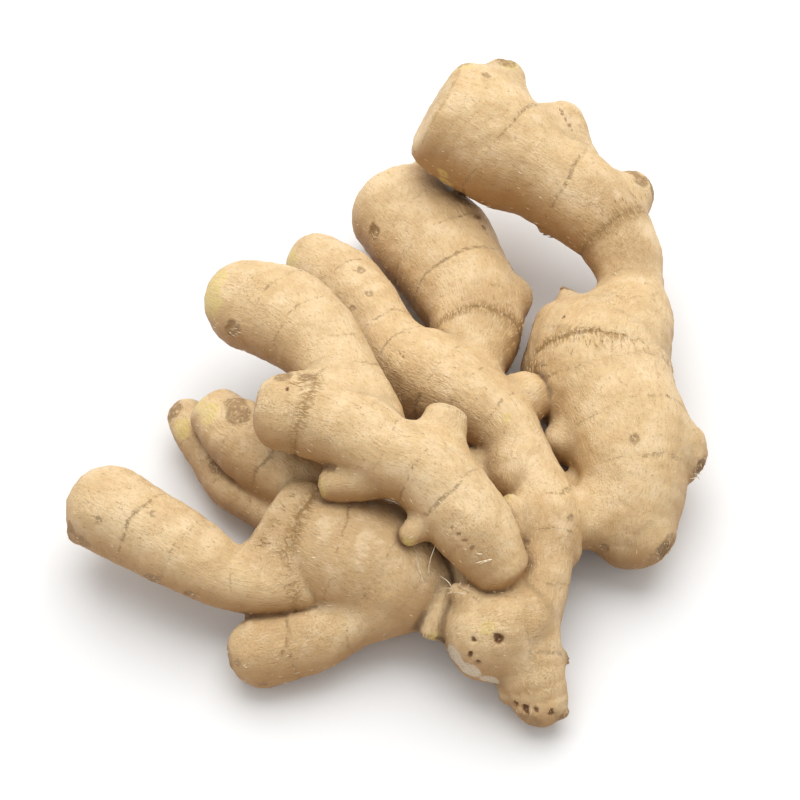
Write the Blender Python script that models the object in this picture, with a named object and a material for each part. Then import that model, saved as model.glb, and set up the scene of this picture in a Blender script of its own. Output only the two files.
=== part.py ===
"""A fresh ginger root: one rhizome whose fingers branch, lie over each other and stay grown together.

Run with blender --background --python part.py. Metres, +Z up; it lies on the plane z = 0 with its
origin under the middle of its box. The long arm reaches back along +Y, the broad lobe lies on +X and
the left arm on -X.
"""
import bpy
import bmesh
import numpy as np
from mathutils import Matrix, Vector, noise

MM = 0.001

# The skin, in millimetres
BALL_STEP = 3.0           # spacing of the balls that first fill a finger
VOXEL = 1.2               # grain of the mesh that unites them
CREASE = 0.7              # rounding where fingers only touch
BLUNT_EDGE = 3.5          # rounding round a blunt end
FADE = 9.0                # way along a finger over which its fillet runs out
LUMP_HEIGHT = 1.0         # broad unevenness of the skin
LUMP_LENGTH = 15.0
RIPPLE_HEIGHT = 0.25      # finer unevenness
RIPPLE_LENGTH = 5.0
RING_DEPTH = 0.6          # a ring scar's groove
RING_WIDTH = 1.6
SETTLING_ROUNDS = 6
LONGEST_STEP = 1.3        # how far a corner moves in one of them
LEAST_SLOPE = 0.2         # keeps a step finite where ways out cancel, in a crease's floor
TINY = 1e-6
EASING_ROUNDS = 3
REACH = 20.0              # how far from a finger its skin is worked out
SLIVER = 0.05             # corners this close to the table are put on it
MOST_TRIANGLES = 11400

# Each finger runs from its root to its tip: x, y, height of its middle and radius there. The fillet
# is the rounding where it leaves what it grows from. A blunt finger ends so far past its last station,
# not in a full ball. Rings are scars at so far from its root. A bump or bud is on one finger and rounded
# into that one alone.
FINGERS = {
    "right lobe": dict(fillet=8, rings=(15, 25, 40, 53), stations=[
        (67, 12, 24, 10), (60, 3, 21, 17.5), (58, -2, 19, 20), (61, -13, 19, 18), (64, -24, 19, 17.5),
        (65, -36, 17, 15), (64, -45, 15, 12.5), (63, -50, 13, 9.5)]),
    "right lobe shoulder": dict(on="right lobe", fillet=6, stations=[
        (58, 4, 21, 17), (51, 10, 18, 11), (48.5, 14, 16.5, 8.5)]),
    "right lobe inner shoulder": dict(on="right lobe", fillet=5, stations=[(56, 2, 17, 14), (47, 2, 14, 10)]),
    "right lobe outer bump": dict(on="right lobe", fillet=5, stations=[
        (72, -26, 19, 11.5), (77, -27, 18, 8.5)]),
    "right lobe inner bump": dict(on="right lobe", fillet=3, stations=[
        (56, -23, 18, 9.5), (47.5, -25, 19, 6)]),
    "right lobe inner bud": dict(on="right lobe", fillet=2, stations=[
        (52, -37, 15, 4), (47, -36, 16.5, 2.8)]),
    "right lobe eye": dict(on="right lobe", fillet=4, tip_end=2, stations=[
        (66, -50, 15, 8), (71, -55, 14, 5.5)]),
    "right lobe top bud": dict(on="right lobe", fillet=2, stations=[
        (53, 17, 22, 5), (50, 22, 22, 2.5), (49, 25, 22, 1)]),
    "lobe bridge": dict(on="right lobe", fillet=4, stations=[
        (62, -39, 17, 10.5), (53, -48, 16, 8), (46, -49, 15, 6.5)]),
    "long arm": dict(fillet=6, tip_end=9, rings=(20, 38, 58, 68, 78, 89), stations=[
        (64, 3, 23, 13.5), (67, 14, 24, 11), (68, 22, 26, 9.5), (67, 31, 28, 10), (62, 41, 31, 11.5),
        (53, 49, 34, 13), (42, 55, 38, 13.5), (32, 61, 41, 16.5), (25, 66, 43, 18), (20, 68, 45, 17)]),
    "long arm back bud": dict(on="long arm", fillet=4, tip_end=5, stations=[
        (32, 70, 43, 8.5), (32, 76, 46, 7.5), (33, 82, 47, 6.5)]),
    "long arm knob": dict(on="long arm", fillet=4, stations=[
        (45, 61, 40, 8), (47, 69, 42, 7), (50, 71, 42, 6)]),
    "long arm knob ridge": dict(on="long arm", fillet=4, stations=[
        (50, 70, 41, 5.5), (54, 63, 38, 4.5), (58, 56, 35, 4)]),
    "long arm stub": dict(on="long arm", fillet=4, tip_end=3, stations=[
        (62, 45, 31, 8.5), (69, 52, 31, 7), (72, 53, 31, 5)]),
    "long arm scale": dict(on="long arm", fillet=2, stations=[
        (52, 42, 31, 4), (47, 42, 30, 2.5), (43, 41, 29, 1)]),
    "stem": dict(fillet=4, rings=(12, 22, 35, 54), stations=[
        (35, -36, 22, 9.5), (39.5, -44, 21.5, 8.8), (41.5, -52, 21, 9.2), (40, -60, 20, 7.6),
        (38.5, -70, 18, 7.2), (36, -79, 16, 8), (35.5, -87, 12.5, 9.2), (38, -95, 7, 7.3)]),
    "stem bump": dict(on="stem", fillet=3, stations=[(44, -54, 19, 5.5), (47, -59, 18, 3)]),
    "front lump": dict(on="stem", fillet=4, stations=[
        (32, -79, 16, 11), (28, -80, 16, 12), (24.5, -81, 16, 11), (22.5, -79, 15, 8)]),
    "front lump corner": dict(on="stem", fillet=4, stations=[(28, -83, 13, 10), (24, -85, 11, 6)]),
    "front lump bud": dict(on="stem", fillet=2, stations=[(34, -91, 9, 4), (30, -94, 7, 2.5)]),
    "stem tip bud": dict(on="stem", fillet=1, stations=[(42, -98, 8, 2.5), (44, -99, 7, 1.5)]),
    "stem side bud": dict(on="stem", fillet=1, stations=[(41, -87, 13, 4), (44, -86, 12, 2)]),
    "frayed stub": dict(on="stem", fillet=2, stations=[
        (23, -77, 22, 4.5), (19, -75, 24, 3), (17, -74, 25, 2)]),
    "yellow bud": dict(on="stem", fillet=2, stations=[
        (33, -55, 24, 5.5), (32, -52, 27, 4), (31, -50, 28.5, 2.5)]),
    "hub": dict(fillet=3, stations=[
        (41, -42, 17, 6.5), (30, -37, 15, 10), (21, -38, 14, 11), (21, -55, 14, 11), (26, -68, 14, 10)]),
    "top limb": dict(fillet=1, root_end=3, tip_end=9, rings=(10, 24, 34, 44, 67), stations=[
        (29, -69.5, 27, 7.6), (24.5, -64, 31, 9.5), (20, -58, 33, 10.8), (14, -51, 36, 11), (8, -46, 38, 11),
        (-1, -43, 40, 10.5), (-10, -36, 41, 11.5), (-19, -32, 42, 11), (-26, -31, 42, 10)]),
    "top lobe": dict(on="top limb", fillet=6, tip_end=12, rings=(14, 24, 35, 46), stations=[
        (-6, -33, 38, 10), (-11, -20, 38, 10), (-17, -8, 37, 11), (-25, 2, 36, 13), (-32, 7, 35, 13),
        (-38, 10, 34, 12.5)]),
    "top stub": dict(on="top limb", fillet=4, tip_end=3, stations=[
        (11, -45, 38, 9), (14, -35, 40, 6.5), (15, -32, 41, 5.8)]),
    "top bud": dict(on="top limb", fillet=1.5, tip_end=2, stations=[
        (0, -45, 37, 6), (-5, -48, 37.5, 6), (-10, -49, 37, 5.3), (-16, -49, 35.5, 4.2)]),
    "small bud": dict(on="top limb", fillet=2, stations=[
        (12, -57, 33, 4.5), (7, -61, 33.5, 3.6), (5.5, -62.5, 33.5, 3)]),
    "second finger": dict(fillet=3, rings=(6, 16, 26, 36, 51, 62, 73, 85), stations=[
        (34, -38, 23, 8.5), (34, -32, 24, 8), (30.5, -24, 25, 9), (22, -15, 24, 11.5), (12.5, -8, 23, 13),
        (3, 1, 22, 10.7), (-3.2, 13.2, 20, 9.8), (-8.5, 23.7, 18, 10.5), (-14, 32, 17, 10.5),
        (-21, 40, 15, 9)]),
    "second finger knob": dict(on="second finger", fillet=1.5, stations=[
        (31, -17, 23, 7), (36, -14, 24, 7.5)]),
    "third finger": dict(fillet=3, tip_end=10, rings=(20, 30, 42, 54, 66), stations=[
        (23, -11, 22, 9), (23, 0, 21, 9.5), (24.7, 11, 19, 12.5), (24, 21, 18, 14), (20, 32, 17, 15.5),
        (14, 45, 16, 16.5), (8, 53, 15, 16), (4, 59, 15, 15.5)]),
    "third finger bump": dict(on="third finger", fillet=4, stations=[(30, 23, 18, 9), (35, 26, 17, 5.5)]),
    "third finger end bump": dict(on="third finger", fillet=4, stations=[(7, 65, 16, 6.5), (9, 73, 17, 4.5)]),
    "lower body": dict(fillet=1, tip_end=2.5, rings=(11, 24, 36), stations=[
        (10, -66, 14, 8.5), (2, -66, 15, 13.8), (-3, -62, 16, 16.5), (-13, -58, 17, 16.5),
        (-22, -53, 17, 14.5), (-28, -49, 17, 12)]),
    "body bud": dict(on="lower body", fillet=1, tip_end=2, stations=[
        (13, -72, 17, 5), (12, -77, 15.5, 4.3), (11, -80.3, 13.5, 3.9)]),
    "left arm": dict(fillet=7, tip_end=12, rings=(3, 17, 31, 44), stations=[
        (-23, -66, 15.5, 9.5), (-33, -67, 17, 9), (-40, -66, 17, 8.5), (-47, -63, 18, 9.5), (-55, -58, 19, 11),
        (-65, -52, 20, 11.5), (-73, -47, 20, 12)]),
    "left arm end scar": dict(on="left arm", fillet=2, stations=[(-78, -50, 17, 5.5), (-82, -52, 16, 3)]),
    "lower finger": dict(fillet=3, tip_end=10, rings=(13, 26), stations=[
        (-1, -71, 14, 10), (-10, -76, 12, 7.5), (-20, -80, 10, 8.5), (-28, -82, 9, 9), (-32, -82, 8, 9.5)]),
    "far finger": dict(fillet=3, tip_end=5, rings=(12, 24, 38), stations=[
        (-25, -45, 11, 7.5), (-34, -39, 10, 6.5), (-43, -32, 9, 6.5), (-49, -24, 9, 6), (-54, -16, 10, 6),
        (-56, -11, 10, 5.5)]),
    "near finger": dict(fillet=2, tip_end=4, rings=(12, 23), stations=[
        (-21, -38, 17, 9.5), (-27.5, -34.5, 19, 9.8), (-34, -30.5, 20, 9.6), (-41, -25, 21.5, 8.8),
        (-47, -17.5, 21.5, 7.6)]),
    "near finger stub": dict(on="near finger", fillet=2, stations=[(-37, -25, 24, 6), (-39.5, -22, 26, 5)]),
}

SKIN_COLOUR = (0.62, 0.43, 0.24, 1)
SKIN_ROUGHNESS = 0.62


def spine(stations, step):
    """Centres, radii and distances from the root, along a smooth curve through the stations."""
    row = np.array(stations, float)
    row = np.vstack([2 * row[0] - row[1], row, 2 * row[-1] - row[-2]])
    points = []
    for before, here, there, after in zip(row, row[1:], row[2:], row[3:]):
        pieces = max(1, round(np.linalg.norm((there - here)[:3]) / step))
        for t in np.arange(pieces) / pieces:
            points.append(0.5 * (2 * here + (there - before) * t
                                 + (2 * before - 5 * here + 4 * there - after) * t ** 2
                                 + (3 * here - before - 3 * there + after) * t ** 3))
    points = np.array(points + [row[-2]])
    lengths = np.linalg.norm(np.diff(points[:, :3], axis=0), axis=1)
    return points[:, :3], points[:, 3], np.concatenate([[0], np.cumsum(lengths)])


def ramp(x, low, high):
    """0 below low, 1 above high, and a smooth way between."""
    t = np.clip((x - low) / (high - low), 0, 1)
    return t * t * (3 - 2 * t)


def reach(points, centres, radii, along):
    """For each point: its height over the finger's skin, the way out, and how far along it is."""
    height = np.full(len(points), np.inf)
    outward = np.zeros_like(points)
    place = np.zeros(len(points))
    for i in range(len(centres) - 1):
        axis = centres[i + 1] - centres[i]
        t = np.clip((points - centres[i]) @ axis / (axis @ axis), 0, 1)
        away = points - centres[i] - t[:, None] * axis
        distance = np.linalg.norm(away, axis=1)
        over = distance - radii[i] - t * (radii[i + 1] - radii[i])
        near = over < height
        height[near] = over[near]
        outward[near] = away[near] / np.maximum(distance[near], TINY)[:, None]
        place[near] = (along[i] + t * (along[i + 1] - along[i]))[near]
    return height, outward, place


def joined(height, outward, other, other_outward, rounding):
    """Two skins rounded into one where they meet, and the share that the other one has there."""
    share = np.clip(0.5 + 0.5 * (height - other) / rounding, 0, 1)
    both = height * (1 - share) + other * share - rounding * share * (1 - share)
    return both, outward * (1 - share)[:, None] + other_outward * share[:, None], share


def blunted(points, height, outward, end, before, past):
    """The skin with its end, past the given station, cut to a rounded face."""
    way = (end - before) / np.linalg.norm(end - before)
    beyond = (points - end) @ way - past
    inside, turned, _ = joined(-height, -outward, -beyond, np.broadcast_to(-way, outward.shape), BLUNT_EDGE)
    return -inside, -turned


def finger_skin(points, finger):
    """Height of each point over one finger's skin, the way out, its rings' grooves and its fillet there."""
    centres, radii, along = finger["spine"]
    height = np.full(len(points), 2 * REACH)
    outward = np.zeros_like(points)
    groove = np.zeros(len(points))
    rounding = np.full(len(points), CREASE)
    low = centres.min(axis=0) - radii.max() - REACH
    high = centres.max(axis=0) + radii.max() + REACH
    near = np.all((points > low) & (points < high), axis=1)
    over, out, place = reach(points[near], centres, radii, along)
    if "tip_end" in finger:
        over, out = blunted(points[near], over, out, centres[-1], centres[-2], finger["tip_end"])
    if "root_end" in finger:
        over, out = blunted(points[near], over, out, centres[0], centres[1], finger["root_end"])
    height[near] = over
    outward[near] = out
    for ring in finger.get("rings", ()):
        groove[near] += RING_DEPTH * np.exp(-((place - ring) / RING_WIDTH) ** 2)
    leaves = radii[0] + finger["fillet"]
    where = ramp(place, 0, 0.5 * radii[0]) * (1 - ramp(place, leaves, leaves + FADE))
    rounding[near] += (finger["fillet"] - CREASE) * where
    return height, outward, groove, rounding


def skin(points, fingers):
    """Height of each point over the whole root's skin, the way out there, and the rings' grooves."""
    height = np.full(len(points), 2 * REACH)
    outward = np.zeros_like(points)
    groove = np.zeros(len(points))
    for name, finger in fingers.items():
        if "on" in finger:
            continue
        over, out, depth, rounding = finger_skin(points, finger)
        for bud in fingers.values():
            if bud.get("on") == name:
                bud_over, bud_out, bud_depth, bud_rounding = finger_skin(points, bud)
                over, out, share = joined(over, out, bud_over, bud_out, bud_rounding)
                depth = depth * (1 - share) + bud_depth * share
        height, outward, share = joined(height, outward, over, out, rounding)
        groove = groove * (1 - share) + depth * share
    return height, outward, groove


def unevenness(points):
    """Broad lumps and finer ripples of the skin, the same at every run."""
    return np.array([LUMP_HEIGHT * noise.noise(Vector(p) / LUMP_LENGTH)
                     + RIPPLE_HEIGHT * noise.noise(Vector(p) / RIPPLE_LENGTH) for p in points])


def applied(mesh, name, **settings):
    """A copy of the mesh with one modifier applied."""
    holder = bpy.data.objects.new("holder", mesh)
    bpy.context.scene.collection.objects.link(holder)
    modifier = holder.modifiers.new(name, name)
    for key, value in settings.items():
        setattr(modifier, key, value)
    depsgraph = bpy.context.evaluated_depsgraph_get()
    result = bpy.data.meshes.new_from_object(holder.evaluated_get(depsgraph))
    bpy.data.objects.remove(holder)
    bpy.data.meshes.remove(mesh)
    return result


def ball_sizes(finger):
    """Radii of the balls that fill a finger, smaller towards an end that is cut blunt."""
    _, radii, along = finger["spine"]
    if "tip_end" in finger:
        radii = np.minimum(radii, along[-1] - along + finger["tip_end"] + BLUNT_EDGE)
    if "root_end" in finger:
        radii = np.minimum(radii, along + finger["root_end"] + BLUNT_EDGE)
    return radii


def filled_fingers(fingers):
    """Balls along every finger, united by a voxel remesh."""
    bm = bmesh.new()
    for finger in fingers.values():
        for centre, radius in zip(finger["spine"][0], ball_sizes(finger)):
            bmesh.ops.create_icosphere(bm, subdivisions=2, radius=radius, matrix=Matrix.Translation(centre))
    mesh = bpy.data.meshes.new("balls")
    bm.to_mesh(mesh)
    bm.free()
    return applied(mesh, "REMESH", mode="VOXEL", voxel_size=VOXEL)


def settle(mesh, fingers):
    """Draws the mesh onto the root's skin, with its fillets, lumps and ring scars."""
    flat = np.empty(len(mesh.vertices) * 3)
    mesh.vertices.foreach_get("co", flat)
    points = flat.reshape(-1, 3)
    for _ in range(SETTLING_ROUNDS):
        height, outward, groove = skin(points, fingers)
        slope = np.maximum((outward ** 2).sum(axis=1), LEAST_SLOPE)
        points = points - np.clip(height / slope, -LONGEST_STEP, LONGEST_STEP)[:, None] * outward
    outward /= np.maximum(np.linalg.norm(outward, axis=1), TINY)[:, None]
    points = points + (unevenness(points) - groove)[:, None] * outward
    mesh.vertices.foreach_set("co", points.ravel())
    mesh.update()


def rest_flat(mesh):
    """Cuts the resting spots flat at z = 0, centres the root over the origin and turns it to metres."""
    bm = bmesh.new()
    bm.from_mesh(mesh)
    everything = bm.verts[:] + bm.edges[:] + bm.faces[:]
    cut = bmesh.ops.bisect_plane(bm, geom=everything, dist=SLIVER, plane_co=(0, 0, 0), plane_no=(0, 0, 1),
                                 clear_inner=True)
    rims = [edge for edge in cut["geom_cut"] if isinstance(edge, bmesh.types.BMEdge)]
    bmesh.ops.holes_fill(bm, edges=rims, sides=0)
    bmesh.ops.triangulate(bm, faces=[face for face in bm.faces if len(face.verts) > 3])
    corners = np.array([vert.co for vert in bm.verts])
    middle = (corners.min(axis=0) + corners.max(axis=0)) / 2
    bmesh.ops.translate(bm, verts=bm.verts, vec=(-middle[0], -middle[1], 0))
    bmesh.ops.scale(bm, verts=bm.verts, vec=(MM, MM, MM))
    bm.to_mesh(mesh)
    bm.free()


def skin_material():
    material = bpy.data.materials.new("ginger skin")
    material.use_nodes = True
    shader = material.node_tree.nodes["Principled BSDF"]
    shader.inputs["Base Color"].default_value = SKIN_COLOUR
    shader.inputs["Roughness"].default_value = SKIN_ROUGHNESS
    shader.inputs["Metallic"].default_value = 0
    return material


def main():
    for old in list(bpy.data.objects):
        bpy.data.objects.remove(old)
    fingers = {}
    for name, finger in FINGERS.items():
        fingers[name] = dict(finger, spine=spine(finger["stations"], BALL_STEP))
    mesh = filled_fingers(fingers)
    settle(mesh, fingers)
    mesh = applied(mesh, "SMOOTH", factor=0.5, iterations=EASING_ROUNDS)
    mesh.calc_loop_triangles()
    mesh = applied(mesh, "DECIMATE", ratio=MOST_TRIANGLES / len(mesh.loop_triangles))
    rest_flat(mesh)
    mesh.name = "ginger_root"
    mesh.materials.append(skin_material())
    mesh.shade_smooth()
    root = bpy.data.objects.new("ginger_root", mesh)
    bpy.context.scene.collection.objects.link(root)


main()
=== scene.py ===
"""A fresh ginger root on a white table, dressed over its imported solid."""
import math
import random
import bmesh
import bpy
import numpy as np
from mathutils import Matrix, Vector, noise


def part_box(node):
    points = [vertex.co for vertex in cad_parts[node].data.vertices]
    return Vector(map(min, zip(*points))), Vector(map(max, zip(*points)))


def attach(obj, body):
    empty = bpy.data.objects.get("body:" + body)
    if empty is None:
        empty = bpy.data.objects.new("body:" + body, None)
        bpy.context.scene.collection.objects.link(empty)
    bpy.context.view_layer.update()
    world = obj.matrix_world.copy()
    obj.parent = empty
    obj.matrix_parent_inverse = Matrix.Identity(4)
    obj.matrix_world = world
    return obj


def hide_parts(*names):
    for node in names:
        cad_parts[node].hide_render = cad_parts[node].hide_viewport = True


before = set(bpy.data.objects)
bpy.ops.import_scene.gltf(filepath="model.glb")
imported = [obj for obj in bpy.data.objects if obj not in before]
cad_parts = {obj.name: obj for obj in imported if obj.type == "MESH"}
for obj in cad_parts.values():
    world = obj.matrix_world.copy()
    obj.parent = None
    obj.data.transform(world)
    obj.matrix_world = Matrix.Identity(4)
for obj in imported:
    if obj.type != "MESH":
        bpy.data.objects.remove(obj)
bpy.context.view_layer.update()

# The rhizome's fingers. It is living root, grown as one piece: each finger swells, rings itself with
# leaf scars and sends out the next. Sizes are in millimetres, from root to tip: x, y, height of the
# middle, radius there. Frayed rings have kept the torn edge of their leaf sheath.
MM = 0.001
BALL_STEP = 3.0
FINGERS = {
    "right lobe": dict(fillet=8, rings=(15, 25, 40, 53), frayed=(15,), stations=[
        (67, 12, 24, 10), (60, 3, 21, 17.5), (58, -2, 19, 20), (61, -13, 19, 18), (64, -24, 19, 17.5),
        (65, -36, 17, 15), (64, -45, 15, 12.5), (63, -50, 13, 9.5)]),
    "right lobe shoulder": dict(on="right lobe", fillet=6, stations=[
        (58, 4, 21, 17), (51, 10, 18, 11), (48.5, 14, 16.5, 8.5)]),
    "right lobe inner shoulder": dict(on="right lobe", fillet=5, stations=[(56, 2, 17, 14), (47, 2, 14, 10)]),
    "right lobe outer bump": dict(on="right lobe", fillet=5, stations=[
        (72, -26, 19, 11.5), (77, -27, 18, 8.5)]),
    "right lobe inner bump": dict(on="right lobe", fillet=3, stations=[
        (56, -23, 18, 9.5), (47.5, -25, 19, 6)]),
    "right lobe inner bud": dict(on="right lobe", fillet=2, stations=[
        (52, -37, 15, 4), (47, -36, 16.5, 2.8)]),
    "right lobe eye": dict(on="right lobe", fillet=4, tip_end=2, stations=[
        (66, -50, 15, 8), (71, -55, 14, 5.5)]),
    "right lobe top bud": dict(on="right lobe", fillet=2, stations=[
        (53, 17, 22, 5), (50, 22, 22, 2.5), (49, 25, 22, 1)]),
    "lobe bridge": dict(on="right lobe", fillet=4, stations=[
        (62, -39, 17, 10.5), (53, -48, 16, 8), (46, -49, 15, 6.5)]),
    "long arm": dict(fillet=6, tip_end=9, rings=(20, 38, 58, 68, 78, 89), frayed=(38,), stations=[
        (64, 3, 23, 13.5), (67, 14, 24, 11), (68, 22, 26, 9.5), (67, 31, 28, 10), (62, 41, 31, 11.5),
        (53, 49, 34, 13), (42, 55, 38, 13.5), (32, 61, 41, 16.5), (25, 66, 43, 18), (20, 68, 45, 17)]),
    "long arm back bud": dict(on="long arm", fillet=4, tip_end=5, stations=[
        (32, 70, 43, 8.5), (32, 76, 46, 7.5), (33, 82, 47, 6.5)]),
    "long arm knob": dict(on="long arm", fillet=4, stations=[
        (45, 61, 40, 8), (47, 69, 42, 7), (50, 71, 42, 6)]),
    "long arm knob ridge": dict(on="long arm", fillet=4, stations=[
        (50, 70, 41, 5.5), (54, 63, 38, 4.5), (58, 56, 35, 4)]),
    "long arm stub": dict(on="long arm", fillet=4, tip_end=3, stations=[
        (62, 45, 31, 8.5), (69, 52, 31, 7), (72, 53, 31, 5)]),
    "long arm scale": dict(on="long arm", fillet=2, stations=[
        (52, 42, 31, 4), (47, 42, 30, 2.5), (43, 41, 29, 1)]),
    "stem": dict(fillet=4, rings=(12, 22, 35, 54), stations=[
        (35, -36, 22, 9.5), (39.5, -44, 21.5, 8.8), (41.5, -52, 21, 9.2), (40, -60, 20, 7.6),
        (38.5, -70, 18, 7.2), (36, -79, 16, 8), (35.5, -87, 12.5, 9.2), (38, -95, 7, 7.3)]),
    "stem bump": dict(on="stem", fillet=3, stations=[(44, -54, 19, 5.5), (47, -59, 18, 3)]),
    "front lump": dict(on="stem", fillet=4, stations=[
        (32, -79, 16, 11), (28, -80, 16, 12), (24.5, -81, 16, 11), (22.5, -79, 15, 8)]),
    "front lump corner": dict(on="stem", fillet=4, stations=[(28, -83, 13, 10), (24, -85, 11, 6)]),
    "front lump bud": dict(on="stem", fillet=2, stations=[(34, -91, 9, 4), (30, -94, 7, 2.5)]),
    "stem tip bud": dict(on="stem", fillet=1, stations=[(42, -98, 8, 2.5), (44, -99, 7, 1.5)]),
    "stem side bud": dict(on="stem", fillet=1, stations=[(41, -87, 13, 4), (44, -86, 12, 2)]),
    "frayed stub": dict(on="stem", fillet=2, stations=[
        (23, -77, 22, 4.5), (19, -75, 24, 3), (17, -74, 25, 2)]),
    "yellow bud": dict(on="stem", fillet=2, stations=[
        (33, -55, 24, 5.5), (32, -52, 27, 4), (31, -50, 28.5, 2.5)]),
    "hub": dict(fillet=3, stations=[
        (41, -42, 17, 6.5), (30, -37, 15, 10), (21, -38, 14, 11), (21, -55, 14, 11), (26, -68, 14, 10)]),
    "top limb": dict(fillet=1, root_end=3, tip_end=9, rings=(10, 24, 34, 44, 67), frayed=(67,), stations=[
        (29, -69.5, 27, 7.6), (24.5, -64, 31, 9.5), (20, -58, 33, 10.8), (14, -51, 36, 11), (8, -46, 38, 11),
        (-1, -43, 40, 10.5), (-10, -36, 41, 11.5), (-19, -32, 42, 11), (-26, -31, 42, 10)]),
    "top lobe": dict(on="top limb", fillet=6, tip_end=12, rings=(14, 24, 35, 46), stations=[
        (-6, -33, 38, 10), (-11, -20, 38, 10), (-17, -8, 37, 11), (-25, 2, 36, 13), (-32, 7, 35, 13),
        (-38, 10, 34, 12.5)]),
    "top stub": dict(on="top limb", fillet=4, tip_end=3, stations=[
        (11, -45, 38, 9), (14, -35, 40, 6.5), (15, -32, 41, 5.8)]),
    "top bud": dict(on="top limb", fillet=1.5, tip_end=2, stations=[
        (0, -45, 37, 6), (-5, -48, 37.5, 6), (-10, -49, 37, 5.3), (-16, -49, 35.5, 4.2)]),
    "small bud": dict(on="top limb", fillet=2, stations=[
        (12, -57, 33, 4.5), (7, -61, 33.5, 3.6), (5.5, -62.5, 33.5, 3)]),
    "second finger": dict(fillet=3, rings=(6, 16, 26, 36, 51, 62, 73, 85), stations=[
        (34, -38, 23, 8.5), (34, -32, 24, 8), (30.5, -24, 25, 9), (22, -15, 24, 11.5), (12.5, -8, 23, 13),
        (3, 1, 22, 10.7), (-3.2, 13.2, 20, 9.8), (-8.5, 23.7, 18, 10.5), (-14, 32, 17, 10.5),
        (-21, 40, 15, 9)]),
    "second finger knob": dict(on="second finger", fillet=1.5, stations=[
        (31, -17, 23, 7), (36, -14, 24, 7.5)]),
    "third finger": dict(fillet=3, tip_end=10, rings=(20, 30, 42, 54, 66), frayed=(20,), stations=[
        (23, -11, 22, 9), (23, 0, 21, 9.5), (24.7, 11, 19, 12.5), (24, 21, 18, 14), (20, 32, 17, 15.5),
        (14, 45, 16, 16.5), (8, 53, 15, 16), (4, 59, 15, 15.5)]),
    "third finger bump": dict(on="third finger", fillet=4, stations=[(30, 23, 18, 9), (35, 26, 17, 5.5)]),
    "third finger end bump": dict(on="third finger", fillet=4, stations=[(7, 65, 16, 6.5), (9, 73, 17, 4.5)]),
    "lower body": dict(fillet=1, tip_end=2.5, rings=(11, 24, 36), frayed=(36,), stations=[
        (10, -66, 14, 8.5), (2, -66, 15, 13.8), (-3, -62, 16, 16.5), (-13, -58, 17, 16.5),
        (-22, -53, 17, 14.5), (-28, -49, 17, 12)]),
    "body bud": dict(on="lower body", fillet=1, tip_end=2, stations=[
        (13, -72, 17, 5), (12, -77, 15.5, 4.3), (11, -80.3, 13.5, 3.9)]),
    "left arm": dict(fillet=7, tip_end=12, rings=(3, 17, 31, 44), frayed=(3,), stations=[
        (-23, -66, 15.5, 9.5), (-33, -67, 17, 9), (-40, -66, 17, 8.5), (-47, -63, 18, 9.5),
        (-55, -58, 19, 11), (-65, -52, 20, 11.5), (-73, -47, 20, 12)]),
    "left arm end scar": dict(on="left arm", fillet=2, stations=[(-78, -50, 17, 5.5), (-82, -52, 16, 3)]),
    "lower finger": dict(fillet=3, tip_end=10, rings=(13, 26), stations=[
        (-1, -71, 14, 10), (-10, -76, 12, 7.5), (-20, -80, 10, 8.5), (-28, -82, 9, 9), (-32, -82, 8, 9.5)]),
    "far finger": dict(fillet=3, tip_end=5, rings=(12, 24, 38), stations=[
        (-25, -45, 11, 7.5), (-34, -39, 10, 6.5), (-43, -32, 9, 6.5), (-49, -24, 9, 6), (-54, -16, 10, 6),
        (-56, -11, 10, 5.5)]),
    "near finger": dict(fillet=2, tip_end=4, rings=(12, 23), stations=[
        (-21, -38, 17, 9.5), (-27.5, -34.5, 19, 9.8), (-34, -30.5, 20, 9.6), (-41, -25, 21.5, 8.8),
        (-47, -17.5, 21.5, 7.6)]),
    "near finger stub": dict(on="near finger", fillet=2, stations=[(-37, -25, 24, 6), (-39.5, -22, 26, 5)]),
}


def spine(stations, step):
    """Centres, radii and distances from the root, along a smooth curve through the stations."""
    row = np.array(stations, float)
    row = np.vstack([2 * row[0] - row[1], row, 2 * row[-1] - row[-2]])
    points = []
    for before, here, there, after in zip(row, row[1:], row[2:], row[3:]):
        pieces = max(1, round(np.linalg.norm((there - here)[:3]) / step))
        for t in np.arange(pieces) / pieces:
            points.append(0.5 * (2 * here + (there - before) * t
                                 + (2 * before - 5 * here + 4 * there - after) * t ** 2
                                 + (3 * here - before - 3 * there + after) * t ** 3))
    points = np.array(points + [row[-2]])
    lengths = np.linalg.norm(np.diff(points[:, :3], axis=0), axis=1)
    return points[:, :3], points[:, 3], np.concatenate([[0], np.cumsum(lengths)])


def framed(centres):
    """Tangents along a finger and a side direction that doesn't twist round it."""
    tangents = np.gradient(centres, axis=0)
    tangents /= np.linalg.norm(tangents, axis=1)[:, None]
    side = np.cross(tangents[0], (0.3, 0.2, 1.0))
    sides = []
    for tangent in tangents:
        side = side - (side @ tangent) * tangent
        side /= np.linalg.norm(side)
        sides.append(side)
    return tangents, np.array(sides)


for finger in FINGERS.values():
    finger["spine"] = spine(finger["stations"], BALL_STEP)
    finger["frames"] = framed(finger["spine"][0])

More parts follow.
